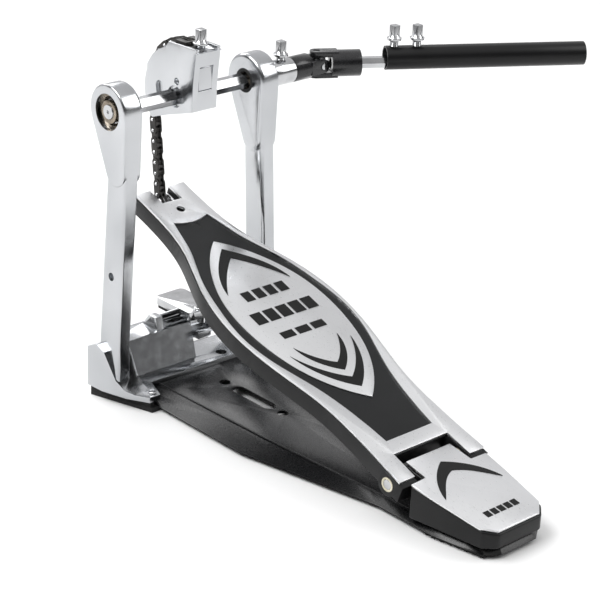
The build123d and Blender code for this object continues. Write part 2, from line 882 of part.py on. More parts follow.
# half of each arrow: its outer edge from tip to arm end, then its inner edge back
arrows = [
    ([(0, -44.1), (12.5, -56.5), (21.5, -68.5), (28.6, -88)], [(28.6, -88), (18.5, -73.5), (10, -64), (0, -55)]),
    ([(0, -182.3), (8, -175.5), (15.2, -166), (20.2, -150)], [(20.2, -150), (12.5, -162.5), (6.5, -169), (0, -174)]),
    ([(0, -200), (10.5, -190.5), (20.6, -176.5), (28, -156)], [(28, -156), (18, -173), (9, -182.8), (0, -189.8)]),
]
with BuildPart() as lens_chevrons:
    for outer_edge, inner_edge in arrows:
        with BuildSketch(board.offset(lens_rise - recess_depth)):
            with BuildLine():
                Spline(*outer_edge)
                Spline(*inner_edge)
                Line(inner_edge[-1], outer_edge[0])
            make_face()
            mirror(about=Plane.YZ)
        extrude(amount=0.2)
lens_chevrons.part.label = "lens_chevrons"
export_step(lens_chevrons.part, "parts/lens_chevrons.step")

with BuildPart() as hinge_bushes:
    for left in (-40.4, fork_inner - 0.6):
        with BuildSketch(across(left)):
            with Locations((hinge_y, hinge_z)):
                Circle(bush_r)
        extrude(amount=40.4 - fork_inner + 0.6)
    with BuildSketch(across(-45)):
        with Locations((hinge_y, hinge_z)):
            Circle(hinge_pin_r + running_gap)
    extrude(amount=90, mode=Mode.SUBTRACT)
hinge_bushes.part.label = "hinge_bushes"
export_step(hinge_bushes.part, "parts/hinge_bushes.step")

pin_s = chain_pin_y * cos(radians(board_slope)) + (chain_pin_z - board_height) * sin(radians(board_slope))
pin_h = (chain_pin_z - board_height) * cos(radians(board_slope)) - chain_pin_y * sin(radians(board_slope))
clevis_top = -board_deck - 1.49
with BuildPart() as clevis:
    with BuildSketch(board.offset(clevis_top)):
        with Locations((0, (clevis_screw_s - 9 + 12) / 2)):
            Rectangle(16.8, 21 - clevis_screw_s)
    extrude(amount=-2.0)
    for left in (-8.4, 6.0):
        with BuildSketch(board_side.offset(left)):
            with BuildLine():
                Polyline(
                    (0, clevis_top),
                    (pin_s, pin_h + 6.5),
                    (pin_s, pin_h - 6.5),
                    (0, clevis_top - 5),
                    close=True,
                )
            make_face()
            with Locations((pin_s, pin_h)):
                Circle(6.5)
        extrude(amount=2.4)
    with BuildSketch(board_side.offset(-12)):
        with Locations((pin_s, pin_h)):
            Circle(chain_pin_r)
    extrude(amount=24, mode=Mode.SUBTRACT)
    with BuildSketch(board):
        with Locations((0, nose_hole_s)):
            Circle(nose_hole_r)
        with Locations((0, clevis_screw_s)):
            Circle(3.05)
    extrude(amount=-board_depth - 4, mode=Mode.SUBTRACT)
clevis.part.label = "clevis"
export_step(clevis.part, "parts/clevis.step")

with BuildPart() as clevis_pin:
    with BuildSketch(across(-8.8)):
        with Locations((chain_pin_y, chain_pin_z)):
            Circle(chain_pin_r)
    extrude(amount=17.6)
clevis_pin.part.label = "clevis_pin"
export_step(clevis_pin.part, "parts/clevis_pin.step")

with BuildPart() as clevis_screw:
    with BuildSketch(board.offset(-recess_depth - 0.2)):
        with Locations((0, clevis_screw_s)):
            Circle(3.0)
    extrude(amount=-9.5)
    with BuildSketch(board.offset(clevis_top - 2.0)):
        with Locations((0, clevis_screw_s)):
            RegularPolygon(5.0, 6, major_radius=False)
            Circle(3.0, mode=Mode.SUBTRACT)
    extrude(amount=-3.2)
clevis_screw.part.label = "clevis_screw"
export_step(clevis_screw.part, "parts/clevis_screw.step")

# ======== camshaft ========
with BuildPart() as hex_shaft:
    with BuildSketch(across(-head_inner + 1)):
        with Locations((0, shaft_height)):
            hexagon(shaft_hex)
    extrude(amount=2 * head_inner - 2)
    with BuildSketch(across(-head_inner - head_length + 0.5)):
        with Locations((0, shaft_height)):
            Circle(journal_r)
    extrude(amount=head_inner + head_length - 0.6 + yoke_start)
    with BuildSketch(across(-head_inner - head_length + 0.5)):
        with Locations((0, shaft_height)):
            Circle(1.3)
    extrude(amount=4, mode=Mode.SUBTRACT)
hex_shaft.part.label = "hex_shaft"
export_step(hex_shaft.part, "parts/hex_shaft.step")

with BuildPart() as shaft_end_ring:
    with BuildSketch(across(-head_inner - head_length + 1.2)):
        with Locations((0, shaft_height)):
            Circle(8.2)
            Circle(journal_r, mode=Mode.SUBTRACT)
    extrude(amount=bearing_recess - 2.0)
shaft_end_ring.part.label = "shaft_end_ring"
export_step(shaft_end_ring.part, "parts/shaft_end_ring.step")

with BuildPart() as drive_collar:
    with BuildSketch(across(bearing_start + bearing_width + 0.6)):
        with Locations((0, shaft_height)):
            Circle(9.5)
            Circle(journal_r, mode=Mode.SUBTRACT)
    extrude(amount=yoke_start - bearing_start - bearing_width - 0.6)
    fillet(drive_collar.edges().group_by(Axis.X)[-1].sort_by(SortBy.RADIUS)[-1], 1)
drive_collar.part.label = "drive_collar"
export_step(drive_collar.part, "parts/drive_collar.step")

cheek_low = 1.4
cheek_high = 5.2
relief_depth = 2.5
cam_profile = [(24.5, 192.9), (8, 199), (-19.4, 207.8), (-20, 228), (cam_back, 250.4), (-24.6, 251)]
with BuildPart() as cam:
    with BuildSketch(across(-cam_half)):
        with BuildLine():
            low = (drum_r * cos(radians(-39)), shaft_height + drum_r * sin(radians(-39)))
            middle = (drum_r * cos(radians(30)), shaft_height + drum_r * sin(radians(30)))
            high = (drum_r * cos(radians(100)), shaft_height + drum_r * sin(radians(100)))
            ThreePointArc(low, middle, high)
            Polyline(high, (-8.4, 248.2), (-8.4, 252.6), *reversed(cam_profile), low)
        make_face()
    extrude(amount=2 * cam_half)
    # cheeks beside the chain, which end where the chain leaves the cam
    for left in (-cam_half, cam_half - cam_wall):
        with BuildSketch(across(left)):
            with BuildLine():
                rim = drum_r + cheek_low
                crown = drum_r + cheek_high
                low = (drum_r * cos(radians(22)), shaft_height + drum_r * sin(radians(22)))
                step = (rim * cos(radians(28)), shaft_height + rim * sin(radians(28)))
                middle = (rim * cos(radians(50)), shaft_height + rim * sin(radians(50)))
                turn = (rim * cos(radians(72)), shaft_height + rim * sin(radians(72)))
                rise = (crown * cos(radians(79)), shaft_height + crown * sin(radians(79)))
                high = (crown * cos(radians(96)), shaft_height + crown * sin(radians(96)))
                Line(low, step)
                ThreePointArc(step, middle, turn)
                Polyline(turn, rise, high, (cam_back, 253.3), (-20, 236), low)
            make_face()
        extrude(amount=cam_wall)
    fillet(cam.edges().filter_by(Axis.X).group_by(Axis.Z)[0], 2)
    # weight pocket in the left face and hex bore with its clamp window
    with BuildSketch(across(-cam_half)):
        with Locations((-2, 226)):
            Circle(2.6)
        with Locations((16, 212)):
            SlotOverall(20, 8, rotation=80)
    extrude(amount=2.5, mode=Mode.SUBTRACT)
    with BuildSketch(across(-cam_half)):
        with Locations((0, shaft_height)):
            hexagon(shaft_hex)
    extrude(amount=2 * cam_half, mode=Mode.SUBTRACT)
    # round relief where the hexagon enters each face
    for left in (-cam_half, cam_half - relief_depth):
        with BuildSketch(across(left)):
            with Locations((0, shaft_height)):
                Circle(shaft_hex * 0.78)
        extrude(amount=relief_depth, mode=Mode.SUBTRACT)
    with BuildSketch(Plane.XZ.offset(-cam_pocket_front)):
        with Locations((0, 231)):
            Rectangle(12, 18)
    extrude(amount=30, mode=Mode.SUBTRACT)
    with BuildSketch(Plane.XY.offset(shaft_height)):
        with Locations((0, cam_bolt_y)):
            Circle(key_thread_r)
    extrude(amount=60, mode=Mode.SUBTRACT)
cam.part.label = "cam"
export_step(cam.part, "parts/cam.step")

with BuildPart() as cam_clamp:
    with BuildSketch(Plane.XZ.offset(-cam_pocket_front)):
        with Locations((0, 231)):
            Rectangle(11.8, 17.8)
    extrude(amount=13)
    with BuildSketch(Plane.XY.offset(shaft_height)):
        with Locations((0, cam_bolt_y)):
            Circle(key_thread_r)
    extrude(amount=60, mode=Mode.SUBTRACT)
    fillet(cam_clamp.edges().filter_by(Axis.X).group_by(Axis.Y)[0], 1.5)
cam_clamp.part.label = "cam_clamp"
export_step(cam_clamp.part, "parts/cam_clamp.step")

with BuildPart() as cam_key_bolt:
    add(key_bolt(Plane.XY.offset(254.0).shift_origin((0, cam_bolt_y, 254.0)), 26))
cam_key_bolt.part.label = "cam_key_bolt"
export_step(cam_key_bolt.part, "parts/cam_key_bolt.step")

with BuildPart() as chain_anchor:
    end_y, end_z = chain_point(wrap_links)
    with BuildSketch(across(-cam_half + cam_wall)):
        with Locations((end_y - 1, shaft_height + drum_r + 3.3)):
            Rectangle(11, 6.4)
    extrude(amount=2 * (cam_half - cam_wall))
    with BuildSketch(across(-3.4)):
        with Locations((end_y + 4, end_z)):
            Rectangle(16, 9)
    extrude(amount=6.8, mode=Mode.SUBTRACT)
    with BuildSketch(across(-3.4)):
        with Locations((end_y, end_z)):
            Circle(link_pin_r)
    extrude(amount=6.8)
chain_anchor.part.label = "chain_anchor"
export_step(chain_anchor.part, "parts/chain_anchor.step")

# ======== chain ========
with BuildPart() as wrapped_chain:
    for index in range(moving_links + 1, wrap_links + 1):
        add(link(index))
wrapped_chain.part.label = "wrapped_chain"
export_step(wrapped_chain.part, "parts/wrapped_chain.step")

for index in range(1, moving_links + 1):
    with BuildPart() as moving_link:
        add(link(index))
    moving_link.part.label = f"chain_link_{index}"
    export_step(moving_link.part, f"parts/chain_link_{index}.step")

with BuildPart() as chain_run:
    for index in range(-run_links + 2, 1):
        add(link(index))
chain_run.part.label = "chain_run"
export_step(chain_run.part, "parts/chain_run.step")

with BuildPart() as chain_eye:
    low_y, low_z = chain_point(-run_links)
    high_y, high_z = chain_point(-run_links + 1)
    eye = Plane(
        origin=(0, low_y, low_z),
        x_dir=(0, high_y - low_y, high_z - low_z),
        z_dir=(1, 0, 0),
    )
    for left in (-inner_gap - link_wall, inner_gap):
        with BuildSketch(eye.offset(left)):
            Circle(eye_r)
            with Locations((pitch, 0)):
                Circle(plate_height / 2)
            make_hull()
            Circle(eye_hole_r, mode=Mode.SUBTRACT)
        extrude(amount=link_wall)
    with BuildSketch(eye.offset(-inner_gap)):
        with Locations((pitch, 0)):
            Circle(roller_r)
    extrude(amount=2 * inner_gap)
    with BuildSketch(eye.offset(-inner_gap - link_wall)):
        with Locations((pitch, 0)):
            Circle(link_pin_r + running_gap)
    extrude(amount=2 * (inner_gap + link_wall), mode=Mode.SUBTRACT)
chain_eye.part.label = "chain_eye"
export_step(chain_eye.part, "parts/chain_eye.step")

# ======== universal joint, rod and tube ========
with BuildPart() as input_yoke:
    with BuildSketch(across(yoke_start)):
        with Locations((0, shaft_height)):
            Circle(joint_r)
    extrude(amount=input_hub_length)
    for side in (-1, 1):
        ear_plane = Plane.XZ.offset(joint_r if side < 0 else -ear_inner)
        with BuildSketch(ear_plane):
            with Locations((joint_x, shaft_height)):
                Circle(ear_r)
            with Locations((joint_x - 6, shaft_height)):
                Rectangle(12, 2 * ear_r)
        extrude(amount=-(joint_r - ear_inner))
    with BuildSketch(Plane.XZ.offset(12)):
        with Locations((joint_x, shaft_height)):
            Circle(cross_pin_r + running_gap)
    extrude(amount=-24, mode=Mode.SUBTRACT)
input_yoke.part.label = "input_yoke"
export_step(input_yoke.part, "parts/input_yoke.step")

with BuildPart() as yoke_key_bolt:
    add(key_bolt(Plane.XY.offset(shaft_height + joint_r + 3).shift_origin((88, 0, shaft_height + joint_r + 3)), 3.0))
yoke_key_bolt.part.label = "yoke_key_bolt"
export_step(yoke_key_bolt.part, "parts/yoke_key_bolt.step")

with BuildPart() as joint_cross:
    with Locations((joint_x, 0, shaft_height)):
        Box(2 * cross_half, 2 * cross_half, 2 * cross_half)
    with BuildSketch(Plane.XZ.offset(joint_r)):
        with Locations((joint_x, shaft_height)):
            Circle(cross_pin_r)
    extrude(amount=-2 * joint_r)
    with BuildSketch(Plane.XY.offset(shaft_height - joint_r)):
        with Locations((joint_x, 0)):
            Circle(cross_pin_r)
    extrude(amount=2 * joint_r)
    fillet(joint_cross.edges().filter_by(Axis.X), 1)
joint_cross.part.label = "joint_cross"
export_step(joint_cross.part, "parts/joint_cross.step")

with BuildPart() as output_yoke:
    with BuildSketch(drive(output_hub_start + 1)):
        Circle(joint_r + 0.5)
    extrude(amount=output_hub_end - output_hub_start - 1)
    for low in (-joint_r - 0.5, arm_inner):
        with BuildSketch(Plane.XY.offset(shaft_height + low)):
            with Locations((joint_x, 0)):
                Circle(ear_r)
                with Locations(Rotation(0, 0, -joint_bend)):
                    Rectangle(16, 2 * ear_r, align=(Align.MIN, Align.CENTER))
        extrude(amount=joint_r + 0.5 - arm_inner)
    with BuildSketch(Plane.XY.offset(shaft_height - 14)):
        with Locations((joint_x, 0)):
            Circle(cross_pin_r + running_gap)
    extrude(amount=28, mode=Mode.SUBTRACT)
    with BuildSketch(drive(output_hub_start + 1)):
        hexagon(rod_hex)
    extrude(amount=output_hub_end, mode=Mode.SUBTRACT)
output_yoke.part.label = "output_yoke"
export_step(output_yoke.part, "parts/output_yoke.step")

with BuildPart() as drive_rod:
    with BuildSketch(drive(output_hub_start + 3)):
        hexagon(rod_hex)
    extrude(amount=rod_end - output_hub_start - 3)
drive_rod.part.label = "drive_rod"
export_step(drive_rod.part, "parts/drive_rod.step")

with BuildPart() as drive_tube:
    with BuildSketch(drive(tube_start, tube_lift)):
        Circle(tube_r)
        Circle(tube_bore_r, mode=Mode.SUBTRACT)
    extrude(amount=tube_length)
    for distance in (58.8, 76.3):
        spot = drive(distance, tube_lift).origin
        with BuildSketch(Plane.XY.offset(spot.Z)):
            with Locations((spot.X, spot.Y)):
                Circle(key_thread_r)
        extrude(amount=20, mode=Mode.SUBTRACT)
drive_tube.part.label = "drive_tube"
export_step(drive_tube.part, "parts/drive_tube.step")

with BuildPart() as tube_key_bolts:
    for distance in (58.8, 76.3):
        spot = drive(distance, tube_lift).origin
        head = spot.Z + tube_r + 5
        thread = head - shaft_height - rod_hex / 2 - running_gap
        add(key_bolt(Plane.XY.offset(head).shift_origin((spot.X, spot.Y, head)), thread))
tube_key_bolts.part.label = "tube_key_bolts"
export_step(tube_key_bolts.part, "parts/tube_key_bolts.step")

# ======== hoop clamp ========
with BuildPart() as hoop_jaw:
    with BuildSketch(across(lug_left + lug_width + 0.2)):
        with Locations((jaw_pin_y, jaw_pin_z)):
            Circle(3.4)
    extrude(amount=lug_right - lug_left - lug_width - 0.4)
    with BuildSketch(Plane.XY.offset(jaw_pin_z - 2)):
        with Locations(((jaw_left + jaw_right) / 2, (jaw_rear + jaw_front) / 2)):
            RectangleRounded(jaw_right - jaw_left, jaw_front - jaw_rear, 4)
    extrude(amount=jaw_wall)
    with BuildSketch(across(lug_left)):
        with Locations((jaw_pin_y, jaw_pin_z)):
            Circle(jaw_pin_r + running_gap)
    extrude(amount=lug_right - lug_left, mode=Mode.SUBTRACT)
    with BuildSketch(Plane.XY.offset(jaw_pin_z - 5)):
        with Locations(((jaw_left + jaw_right) / 2, clamp_bolt_y)):
            Circle(key_thread_r)
    extrude(amount=20, mode=Mode.SUBTRACT)
hoop_jaw.part.label = "hoop_jaw"
export_step(hoop_jaw.part, "parts/hoop_jaw.step")

with BuildPart() as jaw_pin:
    with BuildSketch(across(lug_left)):
        with Locations((jaw_pin_y, jaw_pin_z)):
            Circle(jaw_pin_r)
    extrude(amount=lug_right + lug_width - lug_left)
jaw_pin.part.label = "jaw_pin"
export_step(jaw_pin.part, "parts/jaw_pin.step")

with BuildPart() as jaw_rubber:
    with BuildSketch(Plane.XY.offset(jaw_pin_z - 5)):
        with Locations(((jaw_left + jaw_right) / 2, jaw_front - 9)):
            RectangleRounded(jaw_right - jaw_left - 2, 15, 2)
    extrude(amount=3)
jaw_rubber.part.label = "jaw_rubber"
export_step(jaw_rubber.part, "parts/jaw_rubber.step")

with BuildPart() as clamp_key_bolt:
    top = jaw_pin_z - 2 + jaw_wall
    spot = ((jaw_left + jaw_right) / 2, clamp_bolt_y, top)
    add(key_bolt(Plane.XY.offset(top).shift_origin(spot), 10.5))
clamp_key_bolt.part.label = "clamp_key_bolt"
export_step(clamp_key_bolt.part, "parts/clamp_key_bolt.step")
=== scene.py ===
import json
from math import asin, atan2, cos, pi, radians, sin, sqrt

import bmesh
import bpy
from mathutils import Matrix, Vector

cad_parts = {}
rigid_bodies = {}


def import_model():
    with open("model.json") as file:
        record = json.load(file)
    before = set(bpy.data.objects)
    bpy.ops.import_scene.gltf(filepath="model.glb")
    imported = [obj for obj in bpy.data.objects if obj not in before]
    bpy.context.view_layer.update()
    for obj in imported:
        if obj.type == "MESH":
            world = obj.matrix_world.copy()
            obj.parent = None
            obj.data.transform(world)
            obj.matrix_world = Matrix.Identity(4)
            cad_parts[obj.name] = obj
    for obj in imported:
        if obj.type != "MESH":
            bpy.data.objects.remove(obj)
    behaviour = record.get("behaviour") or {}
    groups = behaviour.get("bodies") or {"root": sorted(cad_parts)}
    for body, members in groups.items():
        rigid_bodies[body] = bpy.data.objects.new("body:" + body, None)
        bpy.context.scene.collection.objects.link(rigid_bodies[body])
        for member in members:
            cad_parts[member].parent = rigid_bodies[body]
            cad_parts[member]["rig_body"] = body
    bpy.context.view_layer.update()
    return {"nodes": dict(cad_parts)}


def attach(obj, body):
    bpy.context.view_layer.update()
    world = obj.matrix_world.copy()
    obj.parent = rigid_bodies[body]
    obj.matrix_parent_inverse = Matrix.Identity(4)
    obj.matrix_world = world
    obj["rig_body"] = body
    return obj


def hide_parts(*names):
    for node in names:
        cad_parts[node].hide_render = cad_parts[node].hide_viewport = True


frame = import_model()
nodes = frame["nodes"]
mm = 0.001
print("frame loaded,", len(nodes), "nodes")


# ---- node helpers ----
def newMaterial(name):
    material = bpy.data.materials.new(name)
    material.use_nodes = True
    tree = material.node_tree
    shader = tree.nodes["Principled BSDF"]
    return material, tree, shader


def objectNoise(tree, scale, stretch=(1, 1, 1), turn=(0, 0, 0), detail=4.0, rough=0.55):
    coords = tree.nodes.new("ShaderNodeTexCoord")
    mapping = tree.nodes.new("ShaderNodeMapping")
    mapping.inputs["Scale"].default_value = stretch
    mapping.inputs["Rotation"].default_value = turn
    noise = tree.nodes.new("ShaderNodeTexNoise")
    noise.inputs["Scale"].default_value = scale
    noise.inputs["Detail"].default_value = detail
    noise.inputs["Roughness"].default_value = rough
    tree.links.new(coords.outputs["Object"], mapping.inputs["Vector"])
    tree.links.new(mapping.outputs["Vector"], noise.inputs["Vector"])
    return noise.outputs["Fac"]


def mapTo(tree, value, low, high, fromLow=0.3, fromHigh=0.7):
    node = tree.nodes.new("ShaderNodeMapRange")
    node.inputs["From Min"].default_value = fromLow
    node.inputs["From Max"].default_value = fromHigh
    node.inputs["To Min"].default_value = low
    node.inputs["To Max"].default_value = high
    tree.links.new(value, node.inputs["Value"])
    return node.outputs["Result"]


def blendColours(tree, value, first, second):
    ramp = tree.nodes.new("ShaderNodeValToRGB")
    ramp.color_ramp.elements[0].position = 0.3
    ramp.color_ramp.elements[0].color = (*first, 1)
    ramp.color_ramp.elements[1].position = 0.7
    ramp.color_ramp.elements[1].color = (*second, 1)
    tree.links.new(value, ramp.inputs["Fac"])
    return ramp.outputs["Color"]


def addBump(tree, shader, layers):
    # layers: (height value, distance in metres, strength), the first lies deepest
    last = None
    for height, distance, strength in layers:
        bump = tree.nodes.new("ShaderNodeBump")
        bump.inputs["Distance"].default_value = distance
        bump.inputs["Strength"].default_value = strength
        tree.links.new(height, bump.inputs["Height"])
        if last is not None:
            tree.links.new(last, bump.inputs["Normal"])
        last = bump.outputs["Normal"]
    tree.links.new(last, shader.inputs["Normal"])


def finish(name, look):
    # one finish from a dictionary: two colours, two roughnesses, a grain and a slow wave
    material, tree, shader = newMaterial(name)
    grain = objectNoise(tree, look["grain"], look.get("stretch", (1, 1, 1)), look.get("turn", (0, 0, 0)))
    wave = objectNoise(tree, look["wave"], detail=2.0)
    tree.links.new(blendColours(tree, wave, look["dark"], look["light"]), shader.inputs["Base Color"])
    tree.links.new(mapTo(tree, grain, look["smooth"], look["rough"]), shader.inputs["Roughness"])
    shader.inputs["Metallic"].default_value = look["metal"]
    shader.inputs["Specular IOR Level"].default_value = look.get("specular", 0.5)
    shader.inputs["Coat Weight"].default_value = look.get("coat", 0.0)
    shader.inputs["Coat Roughness"].default_value = look.get("coatRoughness", 0.15)
    addBump(tree, shader, [(wave, look["waveDepth"], 1.0), (grain, look["grainDepth"], 1.0)])
    return material


boardTurn = radians(19.04)
heelTurn = radians(10.54)
finishes = {
    "platedCasting": {
        "metal": 1.0, "dark": (0.43, 0.44, 0.455), "light": (0.56, 0.57, 0.585),
        "smooth": 0.15, "rough": 0.24,
        "grain": 160, "wave": 16, "waveDepth": 0.0003, "grainDepth": 0.000004,
    },
    "brightSteel": {
        "metal": 1.0, "dark": (0.42, 0.425, 0.435), "light": (0.58, 0.585, 0.595),
        "smooth": 0.09, "rough": 0.2,
        "grain": 900, "stretch": (0.06, 1, 1), "wave": 60, "waveDepth": 0.00004, "grainDepth": 0.000006,
    },
    "bearingSteel": {
        "metal": 1.0, "dark": (0.15, 0.125, 0.095), "light": (0.36, 0.31, 0.25),
        "smooth": 0.16, "rough": 0.34,
        "grain": 700, "wave": 90, "waveDepth": 0.00005, "grainDepth": 0.000008,
    },
    "brushedDeck": {
        "metal": 1.0, "dark": (0.7, 0.705, 0.715), "light": (0.82, 0.825, 0.835),
        "smooth": 0.26, "rough": 0.44,
        "grain": 1500, "stretch": (1, 0.012, 1), "turn": (-boardTurn, 0, 0), "wave": 9,
        "waveDepth": 0.00005, "grainDepth": 0.00002,
    },
    "brushedHeel": {
        "metal": 1.0, "dark": (0.7, 0.705, 0.715), "light": (0.82, 0.825, 0.835),
        "smooth": 0.26, "rough": 0.44,
        "grain": 1500, "stretch": (1, 0.012, 1), "turn": (-heelTurn, 0, 0), "wave": 11,
        "waveDepth": 0.00005, "grainDepth": 0.00002,
    },
    "powderCoat": {
        "metal": 0.0, "dark": (0.003, 0.003, 0.0033), "light": (0.006, 0.006, 0.0065),
        "smooth": 0.3, "rough": 0.42,
        "grain": 1600, "wave": 25, "waveDepth": 0.00006, "grainDepth": 0.000025, "specular": 0.28,
    },
    "basePaint": {
        "metal": 0.0, "dark": (0.004, 0.0042, 0.0048), "light": (0.008, 0.0083, 0.009),
        "smooth": 0.22, "rough": 0.34,
        "grain": 1300, "wave": 14, "waveDepth": 0.00012, "grainDepth": 0.00002, "specular": 0.4,
    },
    "panelFilm": {
        "metal": 0.0, "dark": (0.005, 0.0053, 0.0058), "light": (0.009, 0.0095, 0.01),
        "smooth": 0.36, "rough": 0.5,
        "grain": 1900, "wave": 18, "waveDepth": 0.00003, "grainDepth": 0.00003, "specular": 0.25,
    },
    "chainSteel": {
        "metal": 0.7, "dark": (0.02, 0.019, 0.018), "light": (0.05, 0.047, 0.044),
        "smooth": 0.22, "rough": 0.42,
        "grain": 1500, "wave": 160, "waveDepth": 0.00004, "grainDepth": 0.00001,
    },
    "jointBlack": {
        "metal": 0.3, "dark": (0.009, 0.009, 0.01), "light": (0.02, 0.02, 0.022),
        "smooth": 0.18, "rough": 0.32,
        "grain": 1200, "wave": 70, "waveDepth": 0.00005, "grainDepth": 0.00001, "coat": 0.3,
    },
    "padRubber": {
        "metal": 0.0, "dark": (0.012, 0.012, 0.012), "light": (0.022, 0.022, 0.022),
        "smooth": 0.62, "rough": 0.85,
        "grain": 1400, "wave": 60, "waveDepth": 0.0001, "grainDepth": 0.00006, "specular": 0.3,
    },
    "paleBush": {
        "metal": 0.4, "dark": (0.6, 0.56, 0.42), "light": (0.78, 0.74, 0.6),
        "smooth": 0.25, "rough": 0.42,
        "grain": 900, "wave": 120, "waveDepth": 0.00003, "grainDepth": 0.00001,
    },
    "blackInk": {
        "metal": 0.0, "dark": (0.004, 0.004, 0.004), "light": (0.007, 0.007, 0.007),
        "smooth": 0.4, "rough": 0.55,
        "grain": 1500, "wave": 40, "waveDepth": 0.00001, "grainDepth": 0.00002, "specular": 0.2,
    },
}
materials = {name: finish(name, look) for name, look in finishes.items()}
print("finishes made,", len(materials))

# ---- which finish each node has ----
finishOfNode = {
    "platedCasting": ["frame_casting", "left_post", "right_post", "cam", "cam_clamp"],
    "brightSteel": [
        "post_bolts", "frame_pins", "bearing_balls", "hinge_pin", "jaw_pin", "clevis", "clevis_pin",
        "hex_shaft", "drive_collar", "cam_key_bolt", "yoke_key_bolt", "joint_cross", "drive_rod",
        "tube_key_bolts", "hoop_jaw", "clamp_key_bolt",
    ],
    "bearingSteel": ["bearing_outers", "bearing_inners", "shaft_end_ring"],
    "brushedDeck": ["board_deck", "lens_inlay"],
    "brushedHeel": ["heel_plate"],
    "powderCoat": ["board_frame", "heel_block", "drive_tube", "clevis_screw"],
    "basePaint": ["base_plate"],
    "panelFilm": ["recess_panel"],
    "chainSteel": [
        "chain_anchor", "wrapped_chain", "chain_link_1", "chain_link_2", "chain_link_3", "chain_link_4",
        "chain_run", "chain_eye",
    ],
    "jointBlack": ["input_yoke", "output_yoke"],
    "padRubber": ["front_pad", "heel_pad", "shaft_seals", "jaw_rubber"],
    "paleBush": ["hinge_bushes"],
    "blackInk": ["heel_chevron", "lens_chevrons"],
}
finishName = {node: name for name, members in finishOfNode.items() for node in members}
for nodeName, node in nodes.items():
    node.data.materials.clear()
    node.data.materials.append(materials[finishName[nodeName]])

# ---- pieces with worked edges, made from the nodes ----
edges = {
    # node: edge radius in mm, steps, sharpest angle that is left alone
    "frame_casting": (0.8, 3, 28), "left_post": (0.9, 3, 34), "right_post": (0.9, 3, 34),
    "cam": (0.7, 3, 30), "cam_clamp": (0.5, 2, 30), "board_frame": (0.9, 3, 34), "board_deck": (0.45, 2, 40),
    "lens_inlay": (0.3, 2, 40), "recess_panel": (0.2, 1, 40), "heel_plate": (0.4, 2, 40),
    "heel_block": (1.1, 3, 34), "base_plate": (0.5, 2, 22), "hoop_jaw": (0.7, 2, 34),
    "drive_collar": (0.5, 2, 34),
    "input_yoke": (0.6, 2, 34), "output_yoke": (0.6, 2, 34), "drive_tube": (0.35, 2, 40),
    "hex_shaft": (0.25, 1, 34), "drive_rod": (0.25, 1, 34), "clevis": (0.4, 2, 34), "front_pad": (0.8, 2, 34),
    "heel_pad": (0.4, 2, 40), "jaw_rubber": (0.4, 2, 34), "shaft_end_ring": (0.4, 2, 34),
    "cam_key_bolt": (0.25, 2, 34), "yoke_key_bolt": (0.25, 2, 34), "tube_key_bolts": (0.25, 2, 34),
    "clamp_key_bolt": (0.25, 2, 34), "hinge_bushes": (0.3, 2, 40), "shaft_seals": (0.4, 2, 40),
    "chain_anchor": (0.3, 2, 34), "frame_pins": (0.3, 2, 40), "joint_cross": (0.3, 2, 40),
    "hinge_pin": (0.4, 2, 40), "wrapped_chain": (0.12, 1, 40), "chain_run": (0.12, 1, 40),
    "chain_eye": (0.12, 1, 40), "chain_link_1": (0.12, 1, 40), "chain_link_2": (0.12, 1, 40),
    "chain_link_3": (0.12, 1, 40), "chain_link_4": (0.12, 1, 40),
}


def plainMesh(obj, name):
    # the object's evaluated mesh as a new object with no modifiers
    depsgraph = bpy.context.evaluated_depsgraph_get()
    mesh = bpy.data.meshes.new_from_object(obj.evaluated_get(depsgraph))
    mesh.name = name
    result = bpy.data.objects.new(name, mesh)
    bpy.context.scene.collection.objects.link(result)
    bpy.data.objects.remove(obj)
    return result


def workedEdges(nodeName, radius, steps, angle):
    mesh = nodes[nodeName].data.copy()
    bm = bmesh.new()
    bm.from_mesh(mesh)
    bmesh.ops.remove_doubles(bm, verts=bm.verts, dist=0.000004)
    bmesh.ops.dissolve_limit(bm, angle_limit=radians(1.5), verts=bm.verts, edges=bm.edges)
    bm.to_mesh(mesh)
    bm.free()
    rough = bpy.data.objects.new(nodeName + "Rough", mesh)
    bpy.context.scene.collection.objects.link(rough)
    bevel = rough.modifiers.new("edges", "BEVEL")
    bevel.width = radius * mm
    bevel.segments = steps
    bevel.limit_method = "ANGLE"
    bevel.angle_limit = radians(angle)
    bevel.miter_outer = "MITER_ARC"
    piece = plainMesh(rough, nodeName + "Piece")
    piece.data.shade_smooth()
    piece.data.set_sharp_from_angle(angle=radians(26 if steps == 1 else 32))
    piece.data.materials.clear()
    piece.data.materials.append(materials[finishName[nodeName]])
    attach(piece, nodes[nodeName]["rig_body"])
    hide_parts(nodeName)
    return piece


for nodeName, (radius, steps, angle) in edges.items():
    workedEdges(nodeName, radius, steps, angle)
print("edges worked on", len(edges), "pieces")


